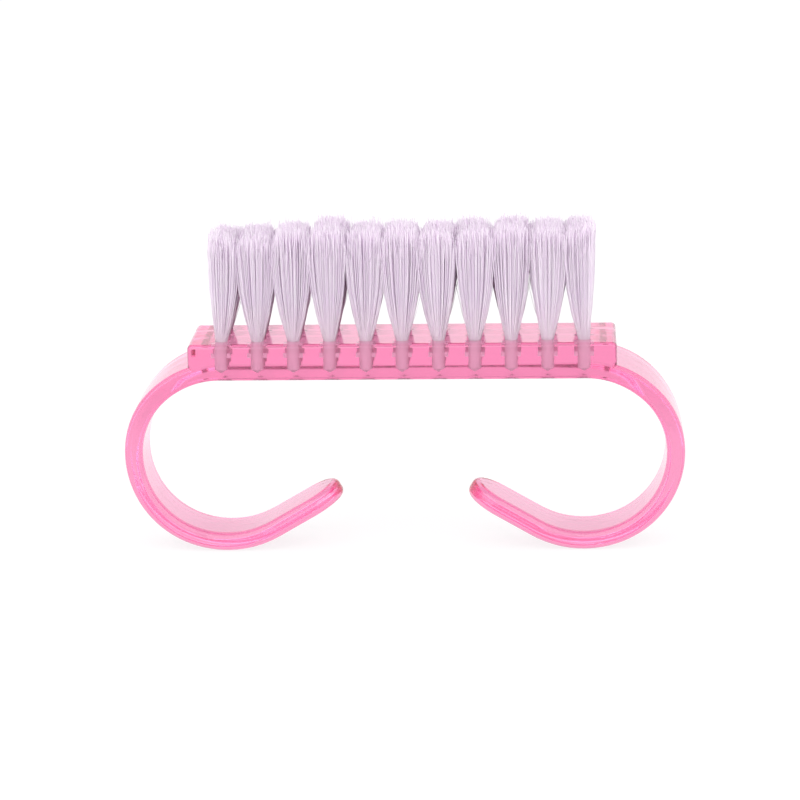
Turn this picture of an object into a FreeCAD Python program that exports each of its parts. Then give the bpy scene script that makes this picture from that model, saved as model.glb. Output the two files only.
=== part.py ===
import FreeCAD
import Part
import math
import os

# Nail dust brush: a clear moulded bar with a scroll-shaped handle curling under each end,
# and rows of soft bristle tufts that are folded round wire anchors in blind holes.
# Millimetres. X runs along the bar, Y across it, Z up. The brush stands on its two scrolls,
# and the origin is on the ground, midway between them.

# Driving dimensions of the moulding
bar_length = 50.0
bar_depth = 12.0
bar_height = 4.3
bar_edge_radius = 0.55
scroll_reach = 8.0
ribbon_thickness = 2.15
ribbon_edge_radius = 0.5
tail_edge_radius = 0.8
curl_radius = 9.45
curl_turn = 159.0
lower_curl_radius = 10.3
lower_curl_turn = 51.0
tail_length = 8.85
tail_width = 8.1
waist_top_radius = 8.0
waist_clear_of_tail = 0.4

# Driving dimensions of the bristle field
tuft_columns = 11
field_end_margin = 3.8
row_names = ["front", "middle", "rear"]
row_pitch = 3.5
hole_diameter = 1.5
hole_depth = 3.2
drill_point_angle = 118.0
tuft_seat_depth = 2.2
fold_thickness = 0.35
tuft_length = 13.0
neck_diameter = 1.8
neck_height = 0.6
belly_diameter = 2.9
belly_height = 2.3
flare_diameter = 4.24
flare_height = 6.5
tip_diameter = 5.4
crown_diameter = 2.6
crown_height = 1.8
column_trims = [0.9, 0.75, 0.35, 0.0, 0.35, 0.25, 0.45, 0.2, 0.1, 0.2, 0.0]
end_reach = 1.7
row_reach = 1.3

# Driving dimensions of the wire anchors
anchor_length = 2.3
anchor_height = 0.55
anchor_thickness = 0.25

# Clearances
root_clearance = 0.04
anchor_clearance = 0.04
tuft_gap = 0.1
cut_margin = 1.0

# Places that follow from the sizes above
turn_sum = curl_turn + lower_curl_turn
curl_outer = curl_radius + ribbon_thickness
lower_outer = lower_curl_radius + ribbon_thickness
overall_length = bar_length + 2 * scroll_reach
curl_x = overall_length / 2 - curl_outer
lower_z = lower_outer
change_angle = math.radians(curl_turn)
radius_step = lower_curl_radius - curl_radius
curl_z = lower_z + radius_step * math.cos(change_angle)
lower_x = curl_x - radius_step * math.sin(change_angle)
bar_bottom = curl_z + curl_radius
bar_top = bar_bottom + bar_height
ribbon_middle = ribbon_thickness / 2
ribbon_roundest = 0.94 * ribbon_middle
row_count = len(row_names)
column_span = bar_length - 2 * field_end_margin
column_pitch = column_span / (tuft_columns - 1)
row_span = (row_count - 1) * row_pitch


def ribbon_point(turn, offset):
    """Point of the right-hand ribbon after it has turned by this many degrees, this far outside its inner face."""
    angle = math.radians(turn)
    if turn <= curl_turn:
        centre_x, centre_z, radius = curl_x, curl_z, curl_radius
    else:
        centre_x, centre_z, radius = lower_x, lower_z, lower_curl_radius
    reach = radius + offset
    return FreeCAD.Vector(centre_x + reach * math.sin(angle), 0, centre_z + reach * math.cos(angle))


def tail_direction():
    """Direction in which the straight tail of the right-hand ribbon runs."""
    angle = math.radians(turn_sum)
    return FreeCAD.Vector(math.cos(angle), 0, -math.sin(angle))


def tail_normal():
    """Direction from the inner face of the right-hand tail to its outer face."""
    angle = math.radians(turn_sum)
    return FreeCAD.Vector(math.sin(angle), 0, math.cos(angle))


def mirrored(point):
    """The same point on the left-hand side."""
    return FreeCAD.Vector(-point.x, point.y, point.z)


def ribbon_outline():
    """Right half of the ribbon's side outline, from the middle of its upper face to the middle of its underside."""
    end_of_tail = tail_direction() * tail_length
    points = [
        FreeCAD.Vector(0, 0, bar_bottom + ribbon_thickness),
        ribbon_point(0, ribbon_thickness),
        ribbon_point(curl_turn, ribbon_thickness),
        ribbon_point(turn_sum, ribbon_thickness),
        ribbon_point(turn_sum, ribbon_thickness) + end_of_tail,
        ribbon_point(turn_sum, 0) + end_of_tail,
        ribbon_point(turn_sum, 0),
        ribbon_point(curl_turn, 0),
        ribbon_point(0, 0),
        FreeCAD.Vector(0, 0, bar_bottom),
    ]
    lower_mid_turn = curl_turn + lower_curl_turn / 2
    arc_middles = {
        1: ribbon_point(curl_turn / 2, ribbon_thickness),
        2: ribbon_point(lower_mid_turn, ribbon_thickness),
        6: ribbon_point(lower_mid_turn, 0),
        7: ribbon_point(curl_turn / 2, 0),
    }
    return points, arc_middles


def bar_outline():
    """Right half of the bar's side outline, from the middle of its top to its seat halfway into the ribbon."""
    end_x = bar_length / 2
    end_turn = math.degrees(math.asin((end_x - curl_x) / (curl_radius + ribbon_middle)))
    points = [
        FreeCAD.Vector(0, 0, bar_top),
        FreeCAD.Vector(end_x, 0, bar_top),
        ribbon_point(end_turn, ribbon_middle),
        ribbon_point(0, ribbon_middle),
        FreeCAD.Vector(0, 0, bar_bottom + ribbon_middle),
    ]
    return points, {2: ribbon_point(end_turn / 2, ribbon_middle)}


def outline_edges(points, arc_middles):
    """Line and arc edges through the points; an edge with a middle point is an arc."""
    edges = []
    for index in range(len(points) - 1):
        start, end = points[index], points[index + 1]
        if index in arc_middles:
            edges.append(Part.Arc(start, arc_middles[index], end).toShape())
        else:
            edges.append(Part.LineSegment(start, end).toShape())
    return edges


def extruded(outline, depth):
    """Solid with this right half outline and its mirror image, extruded across the brush."""
    points, arc_middles = outline
    right = outline_edges(points, arc_middles)
    left_middles = {index: mirrored(point) for index, point in arc_middles.items()}
    left = outline_edges([mirrored(point) for point in points], left_middles)
    profile = Part.Face(Part.Wire(Part.__sortEdges__(right + left)))
    profile.translate(FreeCAD.Vector(0, -depth / 2, 0))
    return profile.extrude(FreeCAD.Vector(0, depth, 0)).removeSplitter()


def waist_low_z():
    """Height below which the ribbon has the tail's width."""
    tail_end = ribbon_point(turn_sum, 0) + tail_direction() * tail_length
    return tail_end.z + waist_clear_of_tail


def waist_envelope():
    """Block that the moulding is trimmed to: as deep as the bar above, narrowing to the tail's width below."""
    low_z = waist_low_z()
    high_z = bar_bottom
    half_bar = bar_depth / 2
    half_tail = tail_width / 2
    rise = high_z - low_z
    narrowing = half_bar - half_tail
    sweep = 2 * math.atan2(narrowing, rise)
    low_radius = rise / math.sin(sweep) - waist_top_radius

    def upper(angle):
        return half_bar - waist_top_radius * (1 - math.cos(angle)), high_z - waist_top_radius * math.sin(angle)

    def lower(angle):
        return half_tail + low_radius * (1 - math.cos(angle)), low_z + low_radius * math.sin(angle)

    far_x = overall_length / 2 + cut_margin
    places = [
        (half_bar, bar_top + cut_margin),
        (half_bar, high_z),
        upper(sweep),
        (half_tail, low_z),
        (half_tail, -cut_margin),
    ]
    middles = {1: upper(sweep / 2), 2: lower(sweep / 2)}
    sides = []
    for sign in (1, -1):
        points = [FreeCAD.Vector(-far_x, sign * y, z) for y, z in places]
        arc_middles = {index: FreeCAD.Vector(-far_x, sign * y, z) for index, (y, z) in middles.items()}
        sides += outline_edges(points, arc_middles)
    top_and_bottom = []
    for y, z in (places[0], places[-1]):
        start, end = FreeCAD.Vector(-far_x, y, z), FreeCAD.Vector(-far_x, -y, z)
        top_and_bottom.append(Part.LineSegment(start, end).toShape())
    wire = Part.Wire(Part.__sortEdges__(sides + top_and_bottom))
    return Part.Face(wire).extrude(FreeCAD.Vector(2 * far_x, 0, 0))


def tail_end_waste():
    """What is cut from the right-hand tail so that its end is round in plan."""
    radius = tail_width / 2
    along = tail_direction()
    normal = tail_normal()
    centre = ribbon_point(turn_sum, -cut_margin) + along * (tail_length - radius)
    height = ribbon_thickness + 2 * cut_margin
    side = FreeCAD.Vector(0, 1, 0)
    near = centre - side * (radius + cut_margin)
    far = centre + side * (radius + cut_margin)
    reach = along * (radius + cut_margin)
    square = Part.makePolygon([near, far, far + reach, near + reach, near])
    block = Part.Face(square).extrude(normal * height)
    return block.cut(Part.makeCylinder(radius, height, centre, normal))


def edge_radius(vertex):
    """Radius of the ribbon's edge at this vertex: crisp at the bar, rounder towards the tails."""
    share = (bar_bottom - vertex.Z) / (bar_bottom - waist_low_z())
    grown = (tail_edge_radius - ribbon_edge_radius) * max(0.0, min(1.0, share))
    return min(ribbon_edge_radius + grown, ribbon_roundest)


def rounded(solid, numbers):
    """The solid with the edges of these numbers rounded, each by the radius at its ends."""
    document = FreeCAD.newDocument("rounding")
    base = document.addObject("Part::Feature", "base")
    base.Shape = solid
    fillet = document.addObject("Part::Fillet", "fillet")
    fillet.Base = base
    fillet.Edges = [(number, *[edge_radius(end) for end in solid.Edges[number - 1].Vertexes]) for number in numbers]
    document.recompute()
    shape = fillet.Shape.copy()
    FreeCAD.closeDocument(document.Name)
    return shape


def ribbon():
    """The strip that runs under the bar and curls into both scrolls, with its long edges and its tips rounded."""
    def faces_out(face):
        u0, u1, v0, v1 = face.ParameterRange
        return face.normalAt((u0 + u1) / 2, (v0 + v1) / 2)

    def is_tail_end(face):
        if not isinstance(face.Surface, Part.Cylinder):
            return False
        return abs(face.Surface.Axis.y) < side_limit and abs(face.Surface.Radius - tail_width / 2) < 1e-6

    def is_side(face):
        return abs(faces_out(face).y) > side_limit or is_tail_end(face)

    side_limit = 0.5
    waste = tail_end_waste()
    other = waste.mirror(FreeCAD.Vector(0, 0, 0), FreeCAD.Vector(1, 0, 0))
    block = extruded(ribbon_outline(), bar_depth + 2 * cut_margin).common(waist_envelope())
    strip = block.cut(Part.Compound([waste, other])).removeSplitter().Solids[0]
    numbers = []
    for number, edge in enumerate(strip.Edges, 1):
        faces = strip.ancestorsOfType(edge, Part.Face)
        sides = [is_side(face) for face in faces]
        if len(faces) == 2 and sides[0] != sides[1]:
            numbers.append(number)
    return rounded(strip, numbers)


def bar():
    """The block that holds the tufts, with its upper edges and its upright corners rounded."""
    block = extruded(bar_outline(), bar_depth)
    edges = []
    for edge in block.Edges:
        box = edge.BoundBox
        upright = box.XLength < 1e-6 and box.YLength < 1e-6
        if upright or box.ZMin > bar_top - 1e-6:
            edges.append(edge)
    return block.makeFillet(bar_edge_radius, edges)


def tuft_places():
    """Name, row, centre and trim of every tuft, row by row from the front."""
    places = []
    for row, row_name in enumerate(row_names):
        y = row * row_pitch - row_span / 2
        for column in range(tuft_columns):
            x = column * column_pitch - column_span / 2
            trim = column_trims[column % len(column_trims)]
            places.append(("tuft_%s_%02d" % (row_name, column + 1), row_name, x, y, trim))
    return places


def anchor(x, y, clearance=0.0):
    """Flat wire anchor of the tuft at this place, grown by a clearance where it is used as a cutter."""
    bottom = bar_top - tuft_seat_depth + fold_thickness
    length = anchor_length + 2 * clearance
    thickness = anchor_thickness + 2 * clearance
    height = anchor_height + 2 * clearance
    corner = FreeCAD.Vector(x - length / 2, y - thickness / 2, bottom - clearance)
    return Part.makeBox(length, thickness, height, corner)


def tuft_hole(x, y):
    """Blind drilled hole with the cone that the drill point leaves."""
    radius = hole_diameter / 2
    cone_depth = radius / math.tan(math.radians(drill_point_angle / 2))
    shoulder = bar_top - hole_depth
    bore = Part.makeCylinder(radius, hole_depth + cut_margin, FreeCAD.Vector(x, y, shoulder))
    point = Part.makeCone(0, radius, cone_depth, FreeCAD.Vector(x, y, shoulder - cone_depth))
    return bore.fuse(point).removeSplitter()


def tuft_cell(x, y):
    """Space that the free part of one tuft may fill, between its neighbours and the trimmed sides of the field."""
    half_x = (column_pitch - tuft_gap) / 2
    half_y = (row_pitch - tuft_gap) / 2
    limit_x = column_span / 2 + end_reach
    limit_y = row_span / 2 + row_reach
    low = FreeCAD.Vector(max(x - half_x, -limit_x), max(y - half_y, -limit_y), bar_top - tuft_seat_depth)
    high = FreeCAD.Vector(min(x + half_x, limit_x), min(y + half_y, limit_y), bar_top + tuft_length)
    size = high - low
    return Part.makeBox(size.x, size.y, size.z, low)


def tuft(x, y, trim):
    """Bristle bundle: a root folded round its anchor in the hole, and a free part that flares to a crowned tip."""
    root_radius = hole_diameter / 2 - root_clearance
    fold_radius = min(fold_thickness, root_radius / 2)
    seat = bar_top - tuft_seat_depth
    top = bar_top + tuft_length - trim
    outline = [
        (0, seat),
        (root_radius - fold_radius, seat),
        (root_radius, seat + fold_radius),
        (root_radius, bar_top),
        (neck_diameter / 2, bar_top + neck_height),
        (belly_diameter / 2, bar_top + belly_height),
        (flare_diameter / 2, bar_top + flare_height),
        (tip_diameter / 2, top - crown_height),
        (crown_diameter / 2, top),
        (0, top),
        (0, seat),
    ]
    wire = Part.makePolygon([FreeCAD.Vector(radius, 0, z) for radius, z in outline])
    spun = Part.Face(wire).revolve(FreeCAD.Vector(0, 0, 0), FreeCAD.Vector(0, 0, 1), 360)
    spun.translate(FreeCAD.Vector(x, y, 0))
    return spun.common(tuft_cell(x, y)).cut(anchor(x, y, anchor_clearance))


def handle_body():
    """The moulding: bar and scrolls in one piece, with a hole and an anchor seat for every tuft."""
    body = ribbon().fuse(bar()).removeSplitter().Solids[0]
    cutters = []
    for name, row_name, x, y, trim in tuft_places():
        cutters.append(tuft_hole(x, y))
        cutters.append(anchor(x, y))
    return body.cut(Part.Compound(cutters)).Solids[0]


def export(shape, node):
    """Write one node and say what it holds."""
    shape.exportStep("parts/%s.step" % node)
    print("%-22s solids %2d  volume %9.3f  valid %s" % (node, len(shape.Solids), shape.Volume, shape.isValid()))


os.makedirs("parts", exist_ok=True)
export(handle_body(), "handle_body")
for name, row_name, x, y, trim in tuft_places():
    export(tuft(x, y, trim).Solids[0], name)
for row_name in row_names:
    anchors = [anchor(x, y) for name, row, x, y, trim in tuft_places() if row == row_name]
    export(Part.Compound(anchors), "%s_row_anchors" % row_name)
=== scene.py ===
import bpy
import bmesh
import math
import random
from mathutils import Matrix, Vector


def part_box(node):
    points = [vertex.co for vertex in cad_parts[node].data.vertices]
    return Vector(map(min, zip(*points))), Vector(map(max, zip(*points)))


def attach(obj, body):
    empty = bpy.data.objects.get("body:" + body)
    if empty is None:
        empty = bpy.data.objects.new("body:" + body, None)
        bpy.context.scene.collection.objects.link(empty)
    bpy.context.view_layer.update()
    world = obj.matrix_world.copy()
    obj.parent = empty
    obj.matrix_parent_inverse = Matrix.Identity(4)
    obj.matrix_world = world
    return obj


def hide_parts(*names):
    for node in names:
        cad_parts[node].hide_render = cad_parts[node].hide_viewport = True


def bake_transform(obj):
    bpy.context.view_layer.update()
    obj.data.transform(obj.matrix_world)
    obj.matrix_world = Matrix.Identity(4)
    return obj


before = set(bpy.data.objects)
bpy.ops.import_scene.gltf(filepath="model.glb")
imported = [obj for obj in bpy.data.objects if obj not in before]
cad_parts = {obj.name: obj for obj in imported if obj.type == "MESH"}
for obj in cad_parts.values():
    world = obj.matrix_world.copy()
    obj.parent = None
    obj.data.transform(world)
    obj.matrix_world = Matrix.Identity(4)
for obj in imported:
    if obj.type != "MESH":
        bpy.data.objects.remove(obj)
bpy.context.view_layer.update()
mm = 0.001
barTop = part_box("handle_body")[1].z
rowNames = ["front", "middle", "rear"]
tuftNodes = sorted(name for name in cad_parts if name.startswith("tuft_"))
print("frame loaded:", len(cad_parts), "nodes")


def hexColour(code):
    # sRGB hex to the linear values that the shaders read
    channels = [int(code[i:i + 2], 16) / 255 for i in (1, 3, 5)]
    linear = [c / 12.92 if c <= 0.04045 else ((c + 0.055) / 1.055) ** 2.4 for c in channels]
    return (*linear, 1.0)


def addNode(tree, kind, settings=None, **sockets):
    # sockets take a value or another node's output; _ stands for a space, and inN for the Nth input
    node = tree.nodes.new(kind)
    for name, value in (settings or {}).items():
        setattr(node, name, value)
    for name, value in sockets.items():
        key = int(name[2:]) if name[:2] == "in" and name[2:].isdigit() else name.replace("_", " ")
        if isinstance(value, bpy.types.NodeSocket):
            tree.links.new(value, node.inputs[key])
        else:
            node.inputs[key].default_value = value
    return node


def newMaterial(name):
    material = bpy.data.materials.new(name)
    material.use_nodes = True
    material.node_tree.nodes.clear()
    return material, material.node_tree


def fillRamp(node, stops):
    # stops are pairs of a place from 0 to 1 and a colour
    ramp = node.color_ramp
    while len(ramp.elements) < len(stops):
        ramp.elements.new(0.5)
    for element, (place, code) in zip(ramp.elements, stops):
        element.position = place
        element.color = hexColour(code)


# Injection-moulded clear polystyrene with a pink dye: glass-smooth, and a deeper pink
# the further light has to travel in it
plasticLook = {
    "ior": 1.57,
    "roughness": 0.1,
    "skin": "#F9BDD8",          # tint of light that has gone in and out again
    "dye": "#FD42BE",           # what the dye lets through
    "dyeDensity": 66.0,         # per metre
    "drilledSkin": "#FFFFFF",   # the drilled holes have cut walls: frosted, without the skin's tint
    "drilledFrost": 0.97,       # share of the light that the frosting scatters
    "drilledRoughness": 0.45,
    "drilledX": 24.0,           # mm from the middle that holds every hole
    "drilledY": 5.2,            # mm
    "drilledStart": 0.01,       # mm below the bar's top, which leaves the top itself clear
    "drilledDepth": 4.2,        # mm, past the drill points
    "rippleWidth": 2.5,         # mm, the faint waviness that the mould leaves
    "rippleDepth": 0.004,       # mm
}


def pinkPolystyrene(look):
    material, tree = newMaterial("pinkPolystyreneMoulded")
    place = addNode(tree, "ShaderNodeTexCoord")
    ripple = addNode(tree, "ShaderNodeTexNoise", Vector=place.outputs["Object"],
                     Scale=1 / (look["rippleWidth"] * mm), Detail=1.0)
    bump = addNode(tree, "ShaderNodeBump", Height=ripple.outputs["Fac"], Strength=1.0,
                   Distance=look["rippleDepth"] * mm)
    # 1 on the walls of the drilled holes, which are the only surfaces well inside the bar
    split = addNode(tree, "ShaderNodeSeparateXYZ", Vector=place.outputs["Object"])
    awayX = addNode(tree, "ShaderNodeMath", {"operation": "ABSOLUTE"}, in0=split.outputs["X"])
    awayY = addNode(tree, "ShaderNodeMath", {"operation": "ABSOLUTE"}, in0=split.outputs["Y"])
    depth = addNode(tree, "ShaderNodeMath", {"operation": "SUBTRACT"}, in0=barTop, in1=split.outputs["Z"])
    tests = [
        ("LESS_THAN", awayX, look["drilledX"]),
        ("LESS_THAN", awayY, look["drilledY"]),
        ("LESS_THAN", depth, look["drilledDepth"]),
        ("GREATER_THAN", depth, look["drilledStart"]),
    ]
    drilled = None
    for operation, value, limit in tests:
        test = addNode(tree, "ShaderNodeMath", {"operation": operation}, in0=value.outputs[0],
                       in1=limit * mm)
        if drilled:
            test = addNode(tree, "ShaderNodeMath", {"operation": "MULTIPLY"}, in0=drilled,
                           in1=test.outputs[0])
        drilled = test.outputs[0]
    tint = addNode(tree, "ShaderNodeMix", {"data_type": "RGBA"}, in0=drilled, in6=hexColour(look["skin"]),
                   in7=hexColour(look["drilledSkin"]))
    clear = addNode(tree, "ShaderNodeMapRange", Value=drilled, To_Min=1.0, To_Max=1 - look["drilledFrost"])
    rough = addNode(tree, "ShaderNodeMapRange", Value=drilled, To_Min=look["roughness"],
                    To_Max=look["drilledRoughness"])
    shader = addNode(tree, "ShaderNodeBsdfPrincipled", Normal=bump.outputs["Normal"],
                     Base_Color=tint.outputs[2], Roughness=rough.outputs["Result"], IOR=look["ior"],
                     Transmission_Weight=clear.outputs["Result"])
    dye = addNode(tree, "ShaderNodeVolumeAbsorption", Color=hexColour(look["dye"]),
                  Density=look["dyeDensity"])
    addNode(tree, "ShaderNodeOutputMaterial", Surface=shader.outputs["BSDF"], Volume=dye.outputs["Volume"])
    return material


# Extruded nylon monofilament: pale lavender white, each strand a shade apart,
# with painted pink light near the bar that it stands in, a painted tint of the light from the pink plastic
nylonLook = {
    "pale": "#FFFCFF",
    "deep": "#FBF3FC",
    "deepStop": 0.35,           # levels of the streaks that have the two shades
    "paleStop": 0.62,
    # painted pink light from the bar on the filaments in and near it
    "paintedBarLight": "#FFF6FB",
    "tintShare": 0.6,           # of that painted pink light in the holes
    "tintFoot": 1.0,            # mm below the bar's top where the painted pink light starts to fade
    "tintHeight": 5.0,          # mm above the bar where it has faded
    "strandPitch": 0.16,        # mm across the streaks
    "streakLength": 9.0,        # mm along them
    "roughness": 0.42,
    "roughnessSpread": 0.08,    # either way, along the streaks
    "ior": 1.53,
    "through": 0.62,            # share of the light that goes on through a strand
}


def nylonFilament(look):
    material, tree = newMaterial("nylonFilamentExtruded")
    place = addNode(tree, "ShaderNodeTexCoord")
    across = 1 / (look["strandPitch"] * mm)
    along = 1 / (look["streakLength"] * mm)
    mapped = addNode(tree, "ShaderNodeMapping", Vector=place.outputs["Object"], Scale=(across, across, along))
    streaks = addNode(tree, "ShaderNodeTexNoise", Vector=mapped.outputs["Vector"], Scale=1.0, Detail=2.0)
    tone = addNode(tree, "ShaderNodeValToRGB", Fac=streaks.outputs["Fac"])
    fillRamp(tone, [(look["deepStop"], look["deep"]), (look["paleStop"], look["pale"])])
    split = addNode(tree, "ShaderNodeSeparateXYZ", Vector=place.outputs["Object"])
    # painted pink light from the bar: strongest in the holes, fading out above the bar
    paintedLightShare = addNode(tree, "ShaderNodeMapRange", Value=split.outputs["Z"],
                       From_Min=barTop - look["tintFoot"] * mm, From_Max=barTop + look["tintHeight"] * mm,
                       To_Min=look["tintShare"], To_Max=0.0)
    colour = addNode(tree, "ShaderNodeMix", {"data_type": "RGBA"}, in0=paintedLightShare.outputs["Result"],
                     in6=tone.outputs["Color"], in7=hexColour(look["paintedBarLight"]))
    rough = addNode(tree, "ShaderNodeMapRange", Value=streaks.outputs["Fac"],
                    To_Min=look["roughness"] - look["roughnessSpread"],
                    To_Max=look["roughness"] + look["roughnessSpread"])
    shader = addNode(tree, "ShaderNodeBsdfPrincipled", Base_Color=colour.outputs[2],
                     Roughness=rough.outputs["Result"], IOR=look["ior"])
    through = addNode(tree, "ShaderNodeBsdfTranslucent", Color=colour.outputs[2])
    mixed = addNode(tree, "ShaderNodeMixShader", Fac=look["through"], in1=shader.outputs["BSDF"],
                    in2=through.outputs["BSDF"])
    addNode(tree, "ShaderNodeOutputMaterial", Surface=mixed.outputs["Shader"])
    return material


# Drawn steel wire, flattened and cut: grey, with fine die lines along its length
wireLook = {
    "light": "#E9E7EA",
    "dark": "#BDBABF",
    "darkStop": 0.3,            # levels of the die lines that have the two shades
    "lightStop": 0.7,
    "linePitch": 0.05,          # mm between die lines
    "lineLength": 2.0,          # mm along them
    "roughness": 0.34,
    "roughnessSpread": 0.1,     # either way, along the die lines
}


def drawnWire(look):
    material, tree = newMaterial("steelWireDrawn")
    place = addNode(tree, "ShaderNodeTexCoord")
    across = 1 / (look["linePitch"] * mm)
    along = 1 / (look["lineLength"] * mm)
    mapped = addNode(tree, "ShaderNodeMapping", Vector=place.outputs["Object"], Scale=(along, across, across))
    lines = addNode(tree, "ShaderNodeTexNoise", Vector=mapped.outputs["Vector"], Scale=1.0, Detail=3.0)
    tone = addNode(tree, "ShaderNodeValToRGB", Fac=lines.outputs["Fac"])
    fillRamp(tone, [(look["darkStop"], look["dark"]), (look["lightStop"], look["light"])])
    rough = addNode(tree, "ShaderNodeMapRange", Value=lines.outputs["Fac"],
                    To_Min=look["roughness"] - look["roughnessSpread"],
                    To_Max=look["roughness"] + look["roughnessSpread"])
    shader = addNode(tree, "ShaderNodeBsdfPrincipled", Base_Color=tone.outputs["Color"],
                     Roughness=rough.outputs["Result"], Metallic=1.0)
    addNode(tree, "ShaderNodeOutputMaterial", Surface=shader.outputs["BSDF"])
    return material


def dress(node, material):
    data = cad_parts[node].data
    data.materials.clear()
    data.materials.append(material)


handlePlastic = pinkPolystyrene(plasticLook)
bristleNylon = nylonFilament(nylonLook)
anchorWire = drawnWire(wireLook)
dress("handle_body", handlePlastic)
print("handle dressed")


rootEnd = 0.02 * mm             # height that holds the vertices of a root's flat end


def rootCentre(node):
    # the flat end of the tuft's root lies round the hole's axis; the centre is given at the bar's top
    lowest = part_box(node)[0].z
    ring = [v.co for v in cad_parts[node].data.vertices if v.co.z < lowest + rootEnd]
    return Vector((sum(co.x for co in ring) / len(ring), sum(co.y for co in ring) / len(ring), barTop))


def meshPiece(name, bm, material):
    mesh = bpy.data.meshes.new(name)
    bm.to_mesh(mesh)
    bm.free()
    mesh.materials.append(material)
    piece = bpy.data.objects.new(name, mesh)
    bpy.context.scene.collection.objects.link(piece)
    return piece


# Wire anchors: short flats of wire across the holes, with the softened edges that drawing and cutting leave
anchorShape = {
    "clear": 0.012,             # mm between the wire and its seat
    "edge": 0.04,               # mm of rounding
    "edgeSteps": 2,
}


def anchorRow(shape, rowName):
    node = rowName + "_row_anchors"
    low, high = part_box(node)
    places = [rootCentre(name) for name in tuftNodes if name.startswith("tuft_" + rowName)]
    span = max(place.x for place in places) - min(place.x for place in places)
    seatSize = Vector((high.x - low.x - span, high.y - low.y, high.z - low.z))
    size = seatSize - Vector((2, 2, 2)) * shape["clear"] * mm
    bm = bmesh.new()
    for place in places:
        middle = Vector((place.x, place.y, (low.z + high.z) / 2))
        bmesh.ops.create_cube(bm, size=1.0, matrix=Matrix.Translation(middle) @ Matrix.Diagonal((*size, 1.0)))
    bmesh.ops.bevel(bm, geom=bm.edges[:], offset=shape["edge"] * mm, affect="EDGES",
                    segments=shape["edgeSteps"], profile=0.5, material=-1)
    piece = meshPiece(node + "_wire", bm, anchorWire)
    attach(piece, "handle")
    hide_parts(node)


for rowName in rowNames:
    anchorRow(anchorShape, rowName)
print("wire anchors set")


# Bristle tufts: doubled filaments, hung round the anchor in the hole
# and splayed to their neighbours above the bar
tuftShape = {
    "seed": 11,
    "goldenShare": 0.618034,    # of a turn from one filament to the next, which plants them evenly
    "strands": 300,             # doubled filaments in one hole, each with two free ends
    "thickness": 0.058,         # mm
    "rootRadius": 0.67,         # mm, where the filaments fill the hole
    "anchorHalf": 0.20,         # mm from the hole's axis to the filaments beside the anchor
    "anchorTop": -1.30,         # mm from the bar's top
    "foldTop": -1.92,           # mm, the tightest fold under the anchor
    "foldDrop": 0.20,           # mm more for the widest fold
    "foldShare": 0.8,           # of a filament's reach that is left where it turns under the anchor
    "foldRound": 0.08,          # mm from that turn down to the bottom of the fold
    "mouth": -0.1,              # mm from the bar's top, where the filaments start to open out
    "splayHeight": 11.0,        # mm above the bar where the splay has ended
    "heights": [1.2, 3.2, 6.0, 9.5],    # mm above the bar where a filament's path has points
    "splay": (0.9, 1.02),       # least and most of its room that a tuft's tips fill
    "interleave": 0.3,          # mm that a tuft's tips reach in among its neighbours'
    "endRoom": 1.9,             # mm; a side with less room than this has no neighbour
    "endDraw": 0.55,            # mm that the outer sides of the end tufts stand straighter
    "domeX": 2.4,               # mm that the tips next to another column are shorter
    "domeY": 0.6,               # mm, next to another row
    "domePower": 6,             # how late towards the edge they get shorter
    "rise": 0.15,               # mm either way from tuft to tuft
    "tipJitter": 0.32,          # mm either way in height from tip to tip
    "tipSpreadX": 0.08,         # mm either way along the bar
    "tipSpreadY": 0.06,         # mm either way across it
    "rowMargin": 0.05,          # mm that the tips keep inside their row
    "tipCurl": 0.1,             # mm that a cut tip turns aside
    "lean": 0.22,               # mm that a whole tuft leans at its tips
    "strayShare": 0.02,         # of the filaments that stand out from the tuft
    "strayReach": 0.7,          # mm
    "bendLength": 6.0,          # mm over which the filaments take up a bend
}


def strandEnd(shape, x, reach, side, cell, tuft, dice):
    # points of one free end in mm from the hole's mouth, from the fold up to the tip
    root, gap = shape["rootRadius"], shape["anchorHalf"]
    mouthY = side * (reach - gap) * root / (root - gap)
    fold = shape["foldTop"] - shape["foldDrop"] * (reach - gap) / (root - gap)
    points = [
        (x, side * reach * shape["foldShare"], fold + shape["foldRound"]),
        (x, side * reach, shape["anchorTop"]),
        (x, mouthY, shape["mouth"]),
    ]
    # the round bundle opens out to the oblong room between its neighbours
    nearest = 1e-6
    square = math.hypot(x, mouthY) / root / max(abs(x), abs(mouthY), nearest)
    tipU = max(-1.0, min(1.0, x * square)) * tuft["splay"]
    tipV = max(-1.0, min(1.0, mouthY * square)) * tuft["splay"]
    low, high = cell
    stray = shape["strayReach"] if dice.random() < shape["strayShare"] else 0.0
    reachX = high[0] if tipU > 0 else -low[0]
    crowded = reachX > shape["endRoom"]
    reachX += shape["interleave"] if crowded else -shape["endDraw"]
    tipX = tipU * reachX + tuft["leanX"] + dice.gauss(0, shape["tipSpreadX"] + stray / 2)
    tipY = (tipV * high[1] if tipV > 0 else -tipV * low[1]) + dice.gauss(0, shape["tipSpreadY"])
    tipY = max(low[1] + shape["rowMargin"], min(high[1] - shape["rowMargin"], tipY + tuft["leanY"]))
    tipZ = high[2] + tuft["rise"] - shape["domeY"] * tipV ** shape["domePower"]
    tipZ -= shape["domeX"] * tipU ** shape["domePower"] if crowded else 0.0
    tipZ += dice.gauss(0, shape["tipJitter"])
    for z in [*shape["heights"], tipZ]:
        opened = 1 - (1 - min(z / shape["splayHeight"], 1.0)) ** 2
        points.append((x + (tipX - x) * opened, mouthY + (tipY - mouthY) * opened, z))
    points[-1] = (points[-1][0] + dice.gauss(0, shape["tipCurl"]), points[-1][1], points[-1][2])
    return points


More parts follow.
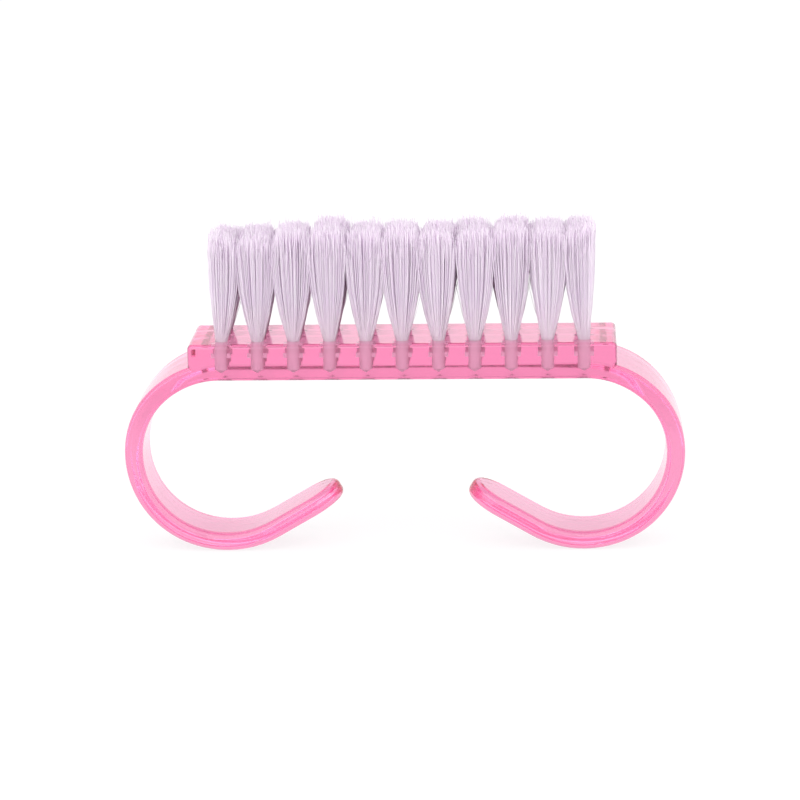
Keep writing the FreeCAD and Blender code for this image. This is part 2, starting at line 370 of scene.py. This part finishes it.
def strandCurve(shape, name, cell, tuft, dice):
    curve = bpy.data.curves.new(name, "CURVE")
    curve.dimensions = "3D"
    curve.bevel_depth = shape["thickness"] / 2 * mm
    curve.bevel_resolution = 0
    curve.use_fill_caps = True
    phase = dice.random()
    # the roots lie on a sunflower pattern, half of it on each side of the anchor
    for number in range(shape["strands"]):
        share = math.sqrt((number + 0.5) / shape["strands"])
        turn = math.pi * ((number * shape["goldenShare"] + phase) % 1.0)
        x = shape["rootRadius"] * share * math.cos(turn)
        reach = shape["anchorHalf"] + (shape["rootRadius"] - shape["anchorHalf"]) * share * math.sin(turn)
        left = strandEnd(shape, x, reach, -1, cell, tuft, dice)
        right = strandEnd(shape, x, reach, 1, cell, tuft, dice)
        bottom = (x, 0.0, left[0][2] - shape["foldRound"])
        points = [*reversed(left), bottom, *right]
        spline = curve.splines.new("POLY")
        spline.points.add(len(points) - 1)
        for point, co in zip(spline.points, points):
            point.co = (co[0] * mm, co[1] * mm, co[2] * mm, 1.0)
        spline.use_smooth = True
    return curve


def bristleTuft(shape, node, dice):
    centre = rootCentre(node)
    low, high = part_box(node)
    cell = [(low - centre) / mm, (high - centre) / mm]
    tuft = {
        "splay": dice.uniform(*shape["splay"]),
        "leanX": dice.uniform(-shape["lean"], shape["lean"]),
        "leanY": dice.uniform(-shape["lean"], shape["lean"]) / 2,
        "rise": dice.uniform(-shape["rise"], shape["rise"]),
    }
    curve = strandCurve(shape, node, cell, tuft, dice)
    guide = bpy.data.objects.new(node + "_guide", curve)
    mesh = bpy.data.meshes.new_from_object(guide)
    bpy.data.objects.remove(guide)
    mesh.transform(Matrix.Translation(centre))
    mesh.materials.clear()
    mesh.materials.append(bristleNylon)
    piece = bpy.data.objects.new(node + "_bristles", mesh)
    bpy.context.scene.collection.objects.link(piece)
    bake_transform(piece)
    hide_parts(node)


dice = random.Random(tuftShape["seed"])
for node in tuftNodes:
    bristleTuft(tuftShape, node, dice)
print("bristle tufts planted:", len(tuftNodes))


# Plain studio: pale floor, soft lamps and an even white surround
studio = {
    "floorSize": 6.0,           # m
    "floorColour": "#FFFFFF",
    "floorGlow": 0.8,           # share of plain white in the floor as it is seen; the rest keeps the shadow
    "surround": 1.0,            # level of the surround as a light
    "lampAim": (0, 0, 0.02),    # m, about the middle of the object
    "lamps": [                  # places and sizes in m
        {"name": "keyLamp", "place": (-0.8, -1.1, 0.8), "size": 2.0, "watts": 16.0},
        {"name": "fillLamp", "place": (1.0, -0.8, 0.6), "size": 2.0, "watts": 13.0},
    ],
}


def seenRays(tree):
    # 1 for rays that show the surround itself: straight, mirrored or through the clear plastic
    light = addNode(tree, "ShaderNodeLightPath")
    first = addNode(tree, "ShaderNodeMath", {"operation": "MAXIMUM"}, in0=light.outputs["Is Camera Ray"],
                    in1=light.outputs["Is Glossy Ray"])
    return addNode(tree, "ShaderNodeMath", {"operation": "MAXIMUM"}, in0=first.outputs[0],
                   in1=light.outputs["Is Transmission Ray"]).outputs[0]


def buildStudio(setup):
    world = bpy.data.worlds.new("whiteSurround")
    world.use_nodes = True
    bpy.context.scene.world = world
    tree = world.node_tree
    tree.nodes.clear()
    level = addNode(tree, "ShaderNodeMapRange", Value=seenRays(tree), To_Min=setup["surround"], To_Max=1.0)
    surround = addNode(tree, "ShaderNodeBackground", Color=(1, 1, 1, 1), Strength=level.outputs["Result"])
    addNode(tree, "ShaderNodeOutputWorld", Surface=surround.outputs["Background"])

    material, tree = newMaterial("paleStudioFloor")
    matt = addNode(tree, "ShaderNodeBsdfDiffuse", Color=hexColour(setup["floorColour"]))
    glow = addNode(tree, "ShaderNodeEmission", Color=(1, 1, 1, 1), Strength=1.0)
    share = addNode(tree, "ShaderNodeMath", {"operation": "MULTIPLY"}, in0=seenRays(tree),
                    in1=setup["floorGlow"])
    mixed = addNode(tree, "ShaderNodeMixShader", Fac=share.outputs[0], in1=matt.outputs["BSDF"],
                    in2=glow.outputs["Emission"])
    addNode(tree, "ShaderNodeOutputMaterial", Surface=mixed.outputs["Shader"])

    bm = bmesh.new()
    bmesh.ops.create_grid(bm, x_segments=1, y_segments=1, size=setup["floorSize"] / 2)
    meshPiece("studioFloor", bm, material)

    for lamp in setup["lamps"]:
        data = bpy.data.lights.new(lamp["name"], "AREA")
        data.size = lamp["size"]
        data.energy = lamp["watts"]
        holder = bpy.data.objects.new(lamp["name"], data)
        holder.location = lamp["place"]
        holder.visible_camera = False
        aim = Vector(setup["lampAim"]) - Vector(lamp["place"])
        holder.rotation_euler = aim.to_track_quat("-Z", "Y").to_euler()
        bpy.context.scene.collection.objects.link(holder)


# Camera at the photograph's viewing angle
view = {
    "azimuth": 2.81,            # degrees towards +X
    "elevation": 13.09,         # degrees
    "roll": -0.99,              # degrees
    "distance": 0.411,          # m
    "focal": 156.5,             # mm
    "sensor": 36.0,             # mm
    "nearest": 0.01,            # m
    "aim": (-0.00053, -0.00021, 0.01742),   # m
}


def placeCamera(setup):
    azimuth = math.radians(setup["azimuth"])
    elevation = math.radians(setup["elevation"])
    level = math.cos(elevation)
    back = Vector((math.sin(azimuth) * level, -math.cos(azimuth) * level, math.sin(elevation)))
    data = bpy.data.cameras.new("photoCamera")
    data.lens = setup["focal"]
    data.sensor_width = setup["sensor"]
    data.clip_start = setup["nearest"]
    camera = bpy.data.objects.new("photoCamera", data)
    camera.location = Vector(setup["aim"]) + back * setup["distance"]
    turn = back.to_track_quat("Z", "Y").to_matrix() @ Matrix.Rotation(math.radians(setup["roll"]), 3, "Z")
    camera.rotation_euler = turn.to_euler()
    bpy.context.scene.collection.objects.link(camera)
    bpy.context.scene.camera = camera


lightBounces = 32               # enough for light that runs along inside the clear bar


def letLightThrough(bounces):
    cycles = bpy.context.scene.cycles
    cycles.max_bounces = bounces
    cycles.diffuse_bounces = bounces // 2
    cycles.glossy_bounces = bounces
    cycles.transmission_bounces = bounces


buildStudio(studio)
placeCamera(view)
letLightThrough(lightBounces)
bpy.context.scene.view_settings.view_transform = "Standard"
print("studio and camera set")
